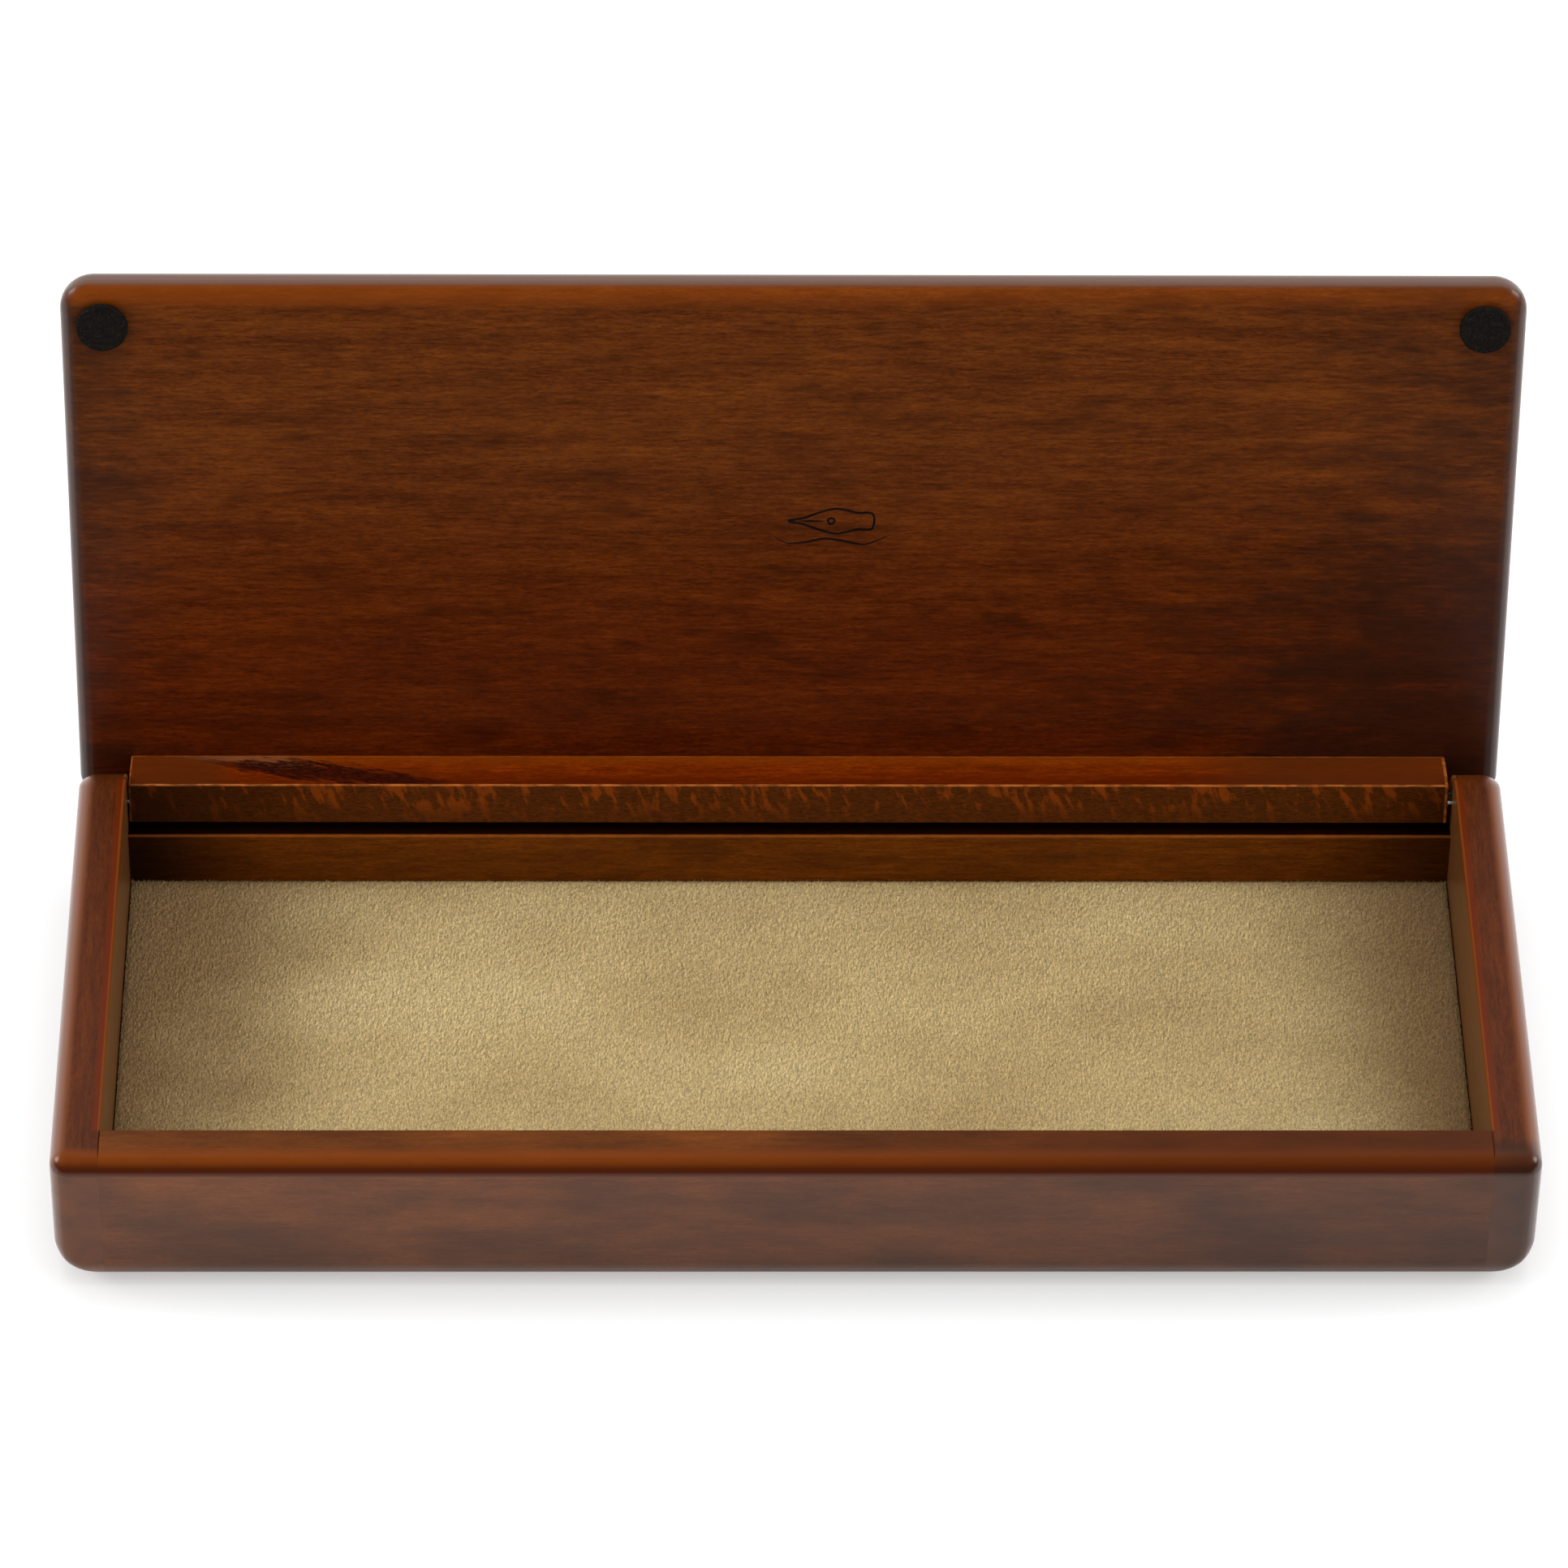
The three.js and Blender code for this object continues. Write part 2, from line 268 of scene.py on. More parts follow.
def arc_heights(flat_at, radius, grows, steps):
    return [flat_at + grows * radius * math.sin(math.pi / 2 * i / steps) for i in range(steps + 1)]


def box_of(node, turned=Matrix.Identity(4)):
    """(lowest, highest) corner of a CAD node in millimetres, in the axes that turned takes to the frame's."""
    back = turned.inverted()
    points = np.array([back @ (v.co / MM) for v in frame["nodes"][node].data.vertices])
    return Vector(points.min(0)), Vector(points.max(0))


def along_x(section, xs):
    """Rings of one (y, z) section at each x."""
    return [[(x, y, z) for y, z in section] for x in xs]


def carved(block, cutter):
    """The bmesh block with the bmesh cutter taken out of it."""
    objects = []
    for bm in (block, cutter):
        bmesh.ops.remove_doubles(bm, verts=bm.verts, dist=1e-5)
        bmesh.ops.dissolve_degenerate(bm, edges=bm.edges, dist=1e-6)
        bmesh.ops.recalc_face_normals(bm, faces=bm.faces)
        mesh = bpy.data.meshes.new("carving")
        mesh.materials.append(None)
        mesh.materials.append(None)
        bm.to_mesh(mesh)
        bm.free()
        objects.append(bpy.data.objects.new("carving", mesh))
        PROJECT.objects.link(objects[-1])
    carve = objects[0].modifiers.new("carve", "BOOLEAN")
    carve.operation = "DIFFERENCE"
    carve.solver = "EXACT"
    carve.use_self = True
    carve.object = objects[1]
    bpy.context.view_layer.update()
    result = bmesh.new()
    result.from_object(objects[0], bpy.context.evaluated_depsgraph_get())
    for leftover in objects:
        bpy.data.objects.remove(leftover)
    return result


# ---------------------------------------------------------------- materials

def srgb(red, green, blue):
    """A colour given as it shows on screen, 0 to 255, as linear light."""
    shares = (red / 255, green / 255, blue / 255)
    return tuple(((c + 0.055) / 1.055) ** 2.4 if c > 10 / 255 else c / 12.92 for c in shares)


class Graph:
    """Short ways to add shader nodes. Each returns the socket that carries its result."""

    def __init__(self, name):
        self.material = bpy.data.materials.new(name)
        self.material.use_nodes = True
        self.tree = self.material.node_tree
        self.shader = self.tree.nodes["Principled BSDF"]
        self.coordinates = self.tree.nodes.new("ShaderNodeTexCoord")

    def link(self, value, socket):
        if isinstance(value, bpy.types.NodeSocket):
            self.tree.links.new(value, socket)
        else:
            socket.default_value = value

    def place(self, scale, offset=(0, 0, 0), turn=(0, 0, 0)):
        """Object coordinates in millimetres, turned, then moved and scaled."""
        turned = self.tree.nodes.new("ShaderNodeMapping")
        self.link(self.coordinates.outputs["Object"], turned.inputs["Vector"])
        turned.inputs["Rotation"].default_value = turn
        turned.inputs["Scale"].default_value = (1 / MM,) * 3
        scaled = self.tree.nodes.new("ShaderNodeMapping")
        self.link(turned.outputs["Vector"], scaled.inputs["Vector"])
        scaled.inputs["Location"].default_value = offset
        scaled.inputs["Scale"].default_value = scale
        return scaled.outputs["Vector"]

    def noise(self, vector, detail=2.0, roughness=0.5, distortion=0.0, colour=False):
        node = self.tree.nodes.new("ShaderNodeTexNoise")
        self.link(vector, node.inputs["Vector"])
        node.inputs["Scale"].default_value = 1.0
        node.inputs["Detail"].default_value = detail
        node.inputs["Roughness"].default_value = roughness
        node.inputs["Distortion"].default_value = distortion
        return node.outputs["Color" if colour else "Fac"]

    def math(self, operation, a, b=0.0):
        node = self.tree.nodes.new("ShaderNodeMath")
        node.operation = operation
        self.link(a, node.inputs[0])
        self.link(b, node.inputs[1])
        return node.outputs[0]

    def fold(self, operation, first, *others):
        """One operation over all the values, from the left."""
        for other in others:
            first = self.math(operation, first, other)
        return first

    def times(self, *values):
        return self.fold("MULTIPLY", *values)

    def plus(self, *values):
        return self.fold("ADD", *values)

    def most(self, *values):
        return self.fold("MAXIMUM", *values)

    def vector(self, operation, a, b):
        node = self.tree.nodes.new("ShaderNodeVectorMath")
        node.operation = operation
        self.link(a, node.inputs[0])
        self.link(b, node.inputs[3 if operation == "SCALE" else 1])
        return node.outputs[0]

    def split(self, vector):
        node = self.tree.nodes.new("ShaderNodeSeparateXYZ")
        self.link(vector, node.inputs[0])
        return node.outputs

    def span(self, value, low, high, to_low=0.0, to_high=1.0, smooth=True):
        """value from low..high to to_low..to_high, held at the ends."""
        node = self.tree.nodes.new("ShaderNodeMapRange")
        node.interpolation_type = "SMOOTHSTEP" if smooth else "LINEAR"
        node.clamp = True
        self.link(value, node.inputs["Value"])
        node.inputs["From Min"].default_value = low
        node.inputs["From Max"].default_value = high
        node.inputs["To Min"].default_value = to_low
        node.inputs["To Max"].default_value = to_high
        return node.outputs["Result"]

    def ramp(self, value, stops):
        node = self.tree.nodes.new("ShaderNodeValToRGB")
        self.link(value, node.inputs["Fac"])
        elements = node.color_ramp.elements
        while len(elements) < len(stops):
            elements.new(0.5)
        for element, (position, colour) in zip(elements, stops):
            element.position = position
            element.color = (*colour, 1)
        return node.outputs["Color"]

    def mix(self, share, a, b, kind="MIX"):
        node = self.tree.nodes.new("ShaderNodeMix")
        node.data_type = "RGBA"
        node.blend_type = kind
        self.link(share, node.inputs["Factor"])
        for value, socket in ((a, node.inputs[6]), (b, node.inputs[7])):
            self.link((*value, 1) if isinstance(value, tuple) else value, socket)
        return node.outputs[2]

    def gray(self, value):
        node = self.tree.nodes.new("ShaderNodeCombineColor")
        for socket in ("Red", "Green", "Blue"):
            self.link(value, node.inputs[socket])
        return node.outputs[0]

    def shade(self, colour, brightness):
        """colour times brightness, channel by channel."""
        return self.mix(1.0, colour, self.gray(brightness), kind="MULTIPLY")

    def bump(self, height, depth, strength=1.0):
        node = self.tree.nodes.new("ShaderNodeBump")
        self.link(height, node.inputs["Height"])
        node.inputs["Distance"].default_value = depth * MM
        node.inputs["Strength"].default_value = strength
        return node.outputs["Normal"]

    def finish(self, colour, roughness, normal=None, **fixed):
        self.link(colour, self.shader.inputs["Base Color"])
        self.link(roughness, self.shader.inputs["Roughness"])
        if normal is not None:
            self.link(normal, self.shader.inputs["Normal"])
        for socket, value in fixed.items():
            self.shader.inputs[socket.replace("_", " ")].default_value = value
        return self.material


def wood(name, tones, grain="x", seed=0.0, turn=0.0, gloss=0.3, contrast=1.0, tint=None, coat=None):
    """Stained, oiled wood with its grain along x or y. turn lays the grain's cross axes along a leaning
    board. coat gives where the polish lies thickest."""
    g = Graph(name)
    dark, middle, light = tones
    turned = (turn, 0, 0) if grain == "x" else (0, 0, math.pi / 2)

    def along(length, across, shift=0.0):
        return g.place(
            (1 / length, 1 / across, 1 / across),
            offset=(seed + shift, 3.1 * seed + shift, 7.7 * seed - shift),
            turn=turned,
        )

    drift = g.noise(along(70, 24, shift=1.3), detail=1, colour=True)
    bent = g.vector("ADD", along(30, 3.2), g.vector("SCALE", drift, 1.2))
    bands = g.noise(bent, detail=3, roughness=0.5)
    wisps = g.noise(along(4.6, 0.62, shift=5.2), detail=3, roughness=0.6)
    fibres = g.noise(along(1.0, 0.2, shift=9.4), detail=3, roughness=0.65)
    dashes = g.span(g.noise(along(3.2, 0.26, shift=31.4), detail=2, roughness=0.5), 0.57, 0.74)
    lines = g.span(g.noise(along(26, 0.4, shift=14.7), detail=2, roughness=0.4), 0.63, 0.78)
    clouds = g.noise(along(16, 6, shift=21.5), detail=5, roughness=0.66)

    figure = g.plus(g.times(bands, 0.26), g.times(wisps, 0.34))
    figure = g.plus(figure, g.times(fibres, 0.40))
    spread = 0.12 / contrast
    colour = g.ramp(figure, [(0.5 - spread, dark), (0.5, middle), (0.5 + spread, light)])
    ragged = g.plus(clouds, g.times(fibres, 0.2))
    smudge = g.times(g.span(ragged, 0.6, 0.84), 0.55 * contrast)
    colour = g.mix(smudge, colour, tuple(c * 0.55 for c in dark))
    colour = g.mix(g.times(dashes, 0.36 * contrast), colour, tuple(c * 0.5 for c in dark))
    colour = g.mix(g.times(lines, 0.5 * contrast), colour, tuple(c * 0.5 for c in dark))
    if tint is not None:
        colour = tint(g, colour, fibres)
    # End grain drinks more stain.
    normal = g.split(g.coordinates.outputs["Normal"])["XYZ".index(grain.upper())]
    end = g.span(g.math("ABSOLUTE", normal), 0.6, 0.95, 0.0, 0.25)
    colour = g.mix(end, colour, dark)
    roughness = g.plus(g.times(wisps, 0.14), 0.24)
    relief = g.math("SUBTRACT", g.times(fibres, 0.5), g.times(lines, 0.8))
    bump = g.bump(relief, 0.02, strength=0.5)
    if coat is not None:
        g.link(coat(g), g.shader.inputs["Coat Weight"])
    return g.finish(colour, roughness, bump, Specular_IOR_Level=gloss, Coat_Roughness=0.16)


def case_places(g):
    """x, y and z of the frame's own axes, in millimetres."""
    return g.split(g.place((1, 1, 1)))


def lid_places(g):
    """x, y and z of the shut lid's own axes, in millimetres."""
    origin = Matrix.Rotation(OPEN_ANGLE, 3, "X") @ PIVOT
    return g.split(g.place((1, 1, 1), offset=-origin, turn=(OPEN_ANGLE, 0, 0)))


def lid_front_edge(g, y, z):
    """Along the lid's front, from the middle of its inner rounding outwards."""
    return g.times(g.span(y, -91.6, -92.4), g.span(z, 8.1, 9.1))


def lid_tint(g, colour, fibres):
    """Redder and darker towards the hinge, smoky stain near both ends and over the rear right part, painted
    sheen greying the edges, and painted shade beyond the rail's ends.
    """
    x, y, z = lid_places(g)
    redder = g.mix(1.0, colour, (0.74, 0.36, 0.05), kind="MULTIPLY")
    colour = g.mix(g.span(y, -74, -12, 0.0, 0.8), colour, redder)
    smoke = g.noise(g.place((1 / 14, 1 / 4, 1 / 4), offset=(5, 2, 8)), detail=7, roughness=0.78)
    smoke = g.plus(smoke, g.times(fibres, 0.3))
    left = g.span(x, -121, -96, 0.26, 0.0)
    right = g.span(x, 58, 116, 0.0, 0.24)
    rear = g.times(g.span(y, -62, -24, 0.0, 0.19), g.span(x, 20, 84, 0.0, 1.0))
    reach = g.plus(left, right, rear)
    amount = g.span(g.plus(smoke, reach), 0.68, 1.12, 0.0, 0.74)
    colour = g.mix(amount, colour, srgb(36, 19, 10))
    warm = g.times(g.span(y, -89.6, -91.6), g.span(x, -110, 60, 0.6, 0.3))
    colour = g.mix(g.times(warm, g.span(z, 10.4, 9.8)), colour, srgb(124, 55, 0))
    # Painted sheen: greyer along the lid's front edge, and below along its side edges.
    colour = g.mix(g.times(lid_front_edge(g, y, z), 0.85), colour, srgb(82, 48, 28))
    sides = g.span(g.math("ABSOLUTE", x), 117.9, 119.2, 0.0, 0.5)
    colour = g.mix(sides, colour, srgb(48, 36, 30))
    # Painted shade: darker on the lid's inner face beyond the rail's ends.
    beyond_rail = g.times(g.span(y, -7, -4), g.span(g.math("ABSOLUTE", x), 110.5, 111.5))
    return g.mix(g.times(beyond_rail, 0.35), colour, srgb(30, 13, 6))


def lid_coat(g):
    """Round the lid's outer edges and over its outer face."""
    x, y, z = lid_places(g)
    front = g.times(lid_front_edge(g, y, z), g.span(z, 9.6, 10.6, 1.0, 0.5))
    sides = g.span(g.math("ABSOLUTE", x), 118.9, 119.6, 0.0, 0.5)
    return g.most(front, sides, g.span(z, 9.8, 10.4, 0.0, 0.5))


FIGURE_SLOPE = 0.175


def rail_tint(g, colour, fibres):
    """Flecks and olive streaks on the face that looks forward, a dark figure on the left of the upper one with
    painted sheen beside it, and painted highlights on the eased edges.
    """
    x, y, z = lid_places(g)
    front = g.span(z, -1.5, -1.8)
    sheared = g.plus(x, g.times(y, -0.3))
    flat = g.tree.nodes.new("ShaderNodeCombineXYZ")
    g.link(g.times(sheared, 1 / 1.7), flat.inputs[0])
    g.link(g.times(y, 1 / 4.2), flat.inputs[1])
    flecks = g.noise(flat.outputs[0], detail=3, roughness=0.55)
    groups = g.noise(g.place((1 / 9, 0.1, 0.1), offset=(7, 0, 0)), detail=1)
    # The upper face: orange at the lid, dark red along its front edge, duller towards both ends.
    rear_part = g.times(g.span(z, 3.0, 6.6, 0.0, 0.55), g.span(fibres, 0.3, 0.7, 0.6, 1.0))
    colour = g.mix(rear_part, colour, srgb(138, 62, 6))
    colour = g.mix(g.span(z, 3.4, -1.4, 0.0, 0.62), colour, srgb(72, 16, 0))
    dull = g.most(g.span(x, -92, -100), g.span(x, 62, 84))
    colour = g.mix(g.times(dull, 0.75), colour, srgb(80, 35, 9))
    # The face that looks forward: olive, with flecks mostly in its upper half.
    olive = g.ramp(fibres, [(0.35, srgb(50, 24, 2)), (0.65, srgb(90, 44, 5))])
    colour = g.mix(g.times(front, 0.8), colour, olive)
    upper = g.span(y, 3.4, -0.6, 0.2, 1.0)
    shown = g.span(g.plus(flecks, g.times(groups, 0.34)), 0.67, 0.82)
    shown = g.times(shown, upper, g.times(front, 0.7))
    colour = g.mix(shown, colour, srgb(134, 58, 6))
    ends = g.most(g.span(x, -74, -112, 0.0, 0.66), g.span(x, 96, 112, 0.0, 0.4))
    colour = g.mix(g.times(ends, front), colour, srgb(18, 5, 1))
    # The dark figure slants from the lid at its left end to the front edge at its right end.
    height = g.plus(z, g.times(x, FIGURE_SLOPE), FIGURE_SLOPE * 98 - 5.2)
    half = g.times(g.span(x, -101, -84, 0.3, 2.6), g.span(x, -78, -56, 1.0, 0.35))
    across = g.math("DIVIDE", g.math("ABSOLUTE", height), half)
    leaning = g.place((1 / 3.2, 1 / 0.6, 1 / 0.6), offset=(1, 5, 2), turn=(OPEN_ANGLE, -0.32, 0))
    streaks = g.noise(leaning, detail=4, roughness=0.6)
    held = g.times(g.span(x, -104, -92), g.span(x, -48, -66))
    torn = g.plus(across, g.times(g.math("SUBTRACT", streaks, 0.5), 3.4))
    inside = g.times(g.span(torn, 1.45, 0.7), held)
    above = g.math("SUBTRACT", 1.0, front)
    dark = g.span(fibres, 0.34, 0.56, 0.5, 1.0)
    # Painted sheen: greyish light on the upper face, at the left of the figure.
    painted_sheen = g.times(g.span(x, -108, -96), g.span(x, -78, -88))
    painted_sheen = g.times(painted_sheen, above, g.span(height, -1.0, 2.0, 0.0, 0.5))
    colour = g.mix(painted_sheen, colour, srgb(128, 82, 52))
    amount = g.times(inside, above, dark)
    colour = g.mix(amount, colour, srgb(36, 9, 5))
    # Painted highlights on the eased edges: along the front, beside the lid and round both ends.
    bits = g.span(g.noise(g.place((1 / 3, 1, 1), offset=(3, 3, 3)), detail=4), 0.38, 0.62, 0.25, 0.8)
    along_front = g.times(g.span(z, -1.62, -1.8), g.span(y, -2.95, -3.1))
    at_lid = g.times(g.span(z, 6.75, 6.95), 0.6)
    at_ends = g.span(g.math("ABSOLUTE", g.plus(x, 0.35)), 110.95, 111.2)
    painted_highlight = g.most(along_front, at_lid, at_ends)
    return g.mix(g.times(painted_highlight, bits), colour, srgb(176, 98, 40))


# Between these heights the tray's upright faces turn into its rim.
RIM_FROM, RIM_FULL = 24.7, 25.2


def rim_tint(g, colour, y, z):
    """Warm wood round the rim's outer front edge, with painted shade darker low down on its rounding."""
    rim = g.span(z, RIM_FROM, RIM_FULL)
    warm = g.times(rim, g.span(y, -45.0, -47.0))
    colour = g.mix(g.times(warm, 0.75), colour, srgb(111, 49, 0))
    # Painted shade: darker where the rounding turns forward and down.
    low = g.times(rim, g.span(y, -46.9, -48.3), g.span(z, 27.5, 26.2))
    return g.mix(low, colour, srgb(70, 24, 0))


def front_tint(g, colour, fibres):
    """Broad soft mottling, and darker to the right and lower down."""
    x, y, z = case_places(g)
    mottle = g.noise(g.place((1 / 24, 1 / 9, 1 / 9), offset=(2, 6, 4)), detail=3)
    colour = g.shade(colour, g.span(mottle, 0.3, 0.7, 0.7, 1.25))
    colour = g.shade(colour, g.span(z, 3, 23, 0.8, 1.12))
    colour = g.shade(colour, g.span(x, -60, 60, 1.12, 0.84))
    colour = rim_tint(g, colour, y, z)
    right = g.times(g.span(x, -40, 90, 0.0, 0.6), g.span(z, RIM_FROM, RIM_FULL))
    return g.mix(right, colour, srgb(66, 24, 2))


def side_tint(g, colour, fibres):
    """Painted shade in a deep red strip along the rim's inner edge, painted highlights on that edge, painted
    sheen on the outer rounding, and front ends that match the front wall.
    """
    x, y, z = case_places(g)
    across = g.math("ABSOLUTE", x)
    behind = g.span(y, -42.0, -41.0)
    # Painted shade: a deep red strip where the rim's flat top meets its inner edge.
    strip = g.times(g.span(z, 27.2, 27.6), g.span(across, 113.7, 112.9))
    colour = g.mix(g.times(strip, behind, 0.8), colour, srgb(92, 30, 1))
    # Painted highlight along the rim's inner edge.
    rim_edge_highlight = g.times(g.span(z, 27.3, 27.5), g.span(across, 112.55, 112.3))
    colour = g.mix(g.times(rim_edge_highlight, behind, 0.3), colour, srgb(150, 84, 30))
    # Painted sheen: lighter greyish pink over the outer rounding.
    outer = g.times(g.span(across, 116.9, 118.4), g.span(z, 21.0, 25.5))
    colour = g.mix(g.times(outer, 0.65), colour, srgb(126, 72, 42))
    # Painted highlight fading down the top of the inner face.
    inside = g.times(g.span(across, 112.6, 112.3), g.span(z, 27.2, 27.0))
    colour = g.mix(g.times(inside, behind, 0.5), colour, srgb(134, 90, 50))
    end = g.times(g.span(y, -45.6, -46.8), g.span(z, RIM_FULL, RIM_FROM))
    mottle = g.noise(g.place((1 / 5, 1 / 5, 1 / 3), offset=(2, 6, 4)), detail=4)
    match = g.ramp(mottle, [(0.3, srgb(84, 42, 9)), (0.7, srgb(106, 56, 16))])
    colour = g.mix(g.times(end, 0.9), colour, match)
    colour = rim_tint(g, colour, y, z)
    right = g.times(g.span(x, 100, 118, 0.0, 0.66), g.span(y, -42, -46.6))
    return g.mix(right, colour, srgb(30, 22, 18))


def tray_coat(g):
    """Over the tray's outer faces."""
    x, y, z = case_places(g)
    front = g.times(g.span(y, -48.4, -49.0), g.span(z, 26.0, 25.2, 0.0, 0.45))
    return g.most(front, g.span(g.math("ABSOLUTE", x), 117.8, 118.8, 0.0, 0.75))


def rear_tint(g, colour, fibres):
    """Almost black on top, under the rail, with painted shade darker at both ends and a painted highlight along
    the inner edge.
    """
    x, y, z = case_places(g)
    # Painted shade: darker at both ends, beside the side walls.
    ends = g.most(g.span(x, -84, -111, 0.0, 0.86), g.span(x, 86, 110, 0.0, 0.6))
    colour = g.mix(ends, colour, srgb(14, 5, 2))
    top = g.times(g.span(z, 16.3, 16.5), g.span(y, 41.0, 41.3))
    colour = g.mix(g.times(top, 0.96), colour, srgb(10, 1, 1))
    # Painted highlight along the top's inner edge.
    top_edge_highlight = g.times(g.span(z, 16.2, 16.35), g.span(y, 41.05, 40.9))
    return g.mix(g.times(top_edge_highlight, 0.28), colour, srgb(150, 80, 30))


LID_TONES = (srgb(66, 27, 2), srgb(91, 41, 4), srgb(113, 56, 8))
RAIL_TONES = (srgb(84, 26, 1), srgb(112, 38, 1), srgb(138, 54, 3))
FRONT_TONES = (srgb(68, 32, 5), srgb(86, 43, 9), srgb(102, 54, 14))
REAR_TONES = (srgb(76, 34, 1), srgb(100, 48, 2), srgb(122, 62, 5))
SIDE_TONES = (srgb(57, 22, 5), srgb(76, 33, 8), srgb(94, 44, 12))
BURNT_TONES = (srgb(20, 9, 5), srgb(34, 16, 9), srgb(48, 24, 13))
PANEL_TONES = (srgb(74, 44, 24), srgb(106, 66, 38), srgb(134, 90, 54))

lid_wood = wood("lid_wood", LID_TONES, seed=2.0, turn=OPEN_ANGLE, gloss=0.1, tint=lid_tint, coat=lid_coat)
rail_wood = wood("rail_wood", RAIL_TONES, seed=6.0, turn=OPEN_ANGLE, gloss=0.1, tint=rail_tint)
front_wood = wood(
    "front_wood", FRONT_TONES, seed=11.0, gloss=0.1, contrast=0.6, tint=front_tint, coat=tray_coat
)
rear_wood = wood("rear_wood", REAR_TONES, seed=15.0, gloss=0.08, tint=rear_tint)
left_wood, right_wood = (
    wood(name, SIDE_TONES, "y", seed=seed, gloss=0.12, contrast=0.8, tint=side_tint, coat=tray_coat)
    for name, seed in (("left_wood", 19.0), ("right_wood", 23.0))
)
burnt_wood = wood("burnt_wood", BURNT_TONES, seed=2.0, turn=OPEN_ANGLE, gloss=0.3)


def suede_material():
    g = Graph("suede_nap")
    x, y, _ = case_places(g)
    specks = g.noise(g.place((1 / 0.3, 1 / 0.5, 1)), detail=2, roughness=0.6)
    curls = g.noise(g.place((1 / 0.6, 1 / 1.3, 1), offset=(4, 9, 1)), detail=2, roughness=0.5, distortion=0.8)
    brushed = g.noise(g.place((1 / 34, 1 / 22, 1), offset=(3.3, 1.2, 0)), detail=3, roughness=0.45)
    wander = g.times(g.math("SUBTRACT", brushed, 0.5), 26)
    slant = g.plus(g.times(y, -0.3), wander)
    left = g.span(g.plus(x, slant), -112, -68, 1.0, 0.0)
    right = g.span(g.math("SUBTRACT", x, g.times(slant, 0.4)), 78, 110, 0.0, 1.0)
    ends = g.most(left, right)
    dull, middle, bright = srgb(160, 137, 94), srgb(171, 149, 104), srgb(179, 158, 113)
    colour = g.ramp(brushed, [(0.3, dull), (0.52, middle), (0.72, bright)])
    # Darker near both ends: partly nap brushed the other way, partly painted shade from the side walls.
    colour = g.mix(g.times(ends, 0.92), colour, srgb(112, 87, 57))
    colour = g.shade(colour, g.span(specks, 0.3, 0.7, 0.68, 1.36, smooth=False))
    colour = g.shade(colour, g.span(curls, 0.3, 0.7, 0.93, 1.06, smooth=False))
    # Painted light and shade of the nap's relief, as paired lit and shaded noise, stronger towards the rear.
    lit, shaded = (
        g.noise(g.place((1 / 0.4, 1 / 0.9, 1), offset=offset), detail=3, roughness=0.6)
        for offset in ((3.1, 6.2, 0), (3.4, 6.1, 0))
    )
    painted_nap_shading = g.gray(g.span(g.math("SUBTRACT", lit, shaded), -0.17, 0.17, 0.58, 1.46, smooth=False))
    colour = g.mix(g.span(y, -44, 20, 0.55, 1.0), colour, painted_nap_shading, kind="MULTIPLY")
    relief = g.plus(g.times(specks, 0.6), g.times(lit, 0.8))
    bump = g.bump(relief, 0.34, strength=1.0)
    return g.finish(colour, g.span(specks, 0.3, 0.7, 0.9, 1.0), bump, Specular_IOR_Level=0.1)


def fibre_material():
    g = Graph("suede_fibre")
    shade = g.noise(g.place((1.5, 1.5, 1.5)), detail=1)
    colour = g.ramp(shade, [(0.3, srgb(150, 128, 86)), (0.7, srgb(205, 184, 136))])
    return g.finish(colour, 0.95, Specular_IOR_Level=0.1)


def felt_material():
    g = Graph("black_felt")
    fibres = g.noise(g.place((3.2, 3.2, 3.2)), detail=4, roughness=0.65, distortion=1.2)
    matting = g.noise(g.place((0.8, 0.8, 0.8), offset=(2, 2, 2)), detail=2)
    colour = g.ramp(fibres, [(0.3, srgb(9, 7, 6)), (0.55, srgb(27, 23, 20)), (0.78, srgb(58, 51, 46))])
    colour = g.mix(g.span(matting, 0.35, 0.65, 0.0, 0.35), colour, srgb(14, 11, 9))
    bump = g.bump(fibres, 0.25, strength=0.9)
    return g.finish(colour, g.span(fibres, 0.3, 0.7, 0.88, 1.0), bump, Specular_IOR_Level=0.08)


def steel_material():
    g = Graph("pin_steel")
    drawn = g.noise(g.place((0.3, 9, 9)), detail=2)
    colour = g.ramp(drawn, [(0.3, srgb(96, 94, 92)), (0.7, srgb(140, 137, 134))])
    return g.finish(colour, g.span(drawn, 0.3, 0.7, 0.34, 0.5), Metallic=1.0)


def board_material():
    g = Graph("grey_board")
    pulp = g.noise(g.place((2.2, 2.2, 6)), detail=4, roughness=0.7)
    colour = g.ramp(pulp, [(0.3, srgb(112, 107, 96)), (0.7, srgb(160, 154, 140))])
    return g.finish(colour, g.span(pulp, 0.3, 0.7, 0.85, 1.0), g.bump(pulp, 0.05), Specular_IOR_Level=0.2)


def glue_material():
    g = Graph("pad_glue")
    film = g.noise(g.place((1.4, 1.4, 1.4)), detail=3)
    colour = g.ramp(film, [(0.3, srgb(46, 30, 18)), (0.7, srgb(66, 44, 26))])
    return g.finish(colour, g.span(film, 0.3, 0.7, 0.5, 0.7), g.bump(film, 0.03), Specular_IOR_Level=0.2)


def dowel_material():
    g = Graph("dowel_beech")
    fibres = g.noise(g.place((0.06, 2.4, 2.4)), detail=4, roughness=0.6)
    colour = g.ramp(fibres, [(0.3, srgb(168, 128, 82)), (0.7, srgb(206, 168, 120))])
    return g.finish(colour, g.span(fibres, 0.3, 0.7, 0.6, 0.8), g.bump(fibres, 0.03), Specular_IOR_Level=0.3)


suede = suede_material()
suede_fibre = fibre_material()
felt = felt_material()
steel = steel_material()
greyboard = board_material()
glue = glue_material()
dowel_wood = dowel_material()
panel_wood = wood("panel_wood", PANEL_TONES, seed=31.0, gloss=0.25)


# ---------------------------------------------------------------- tray walls

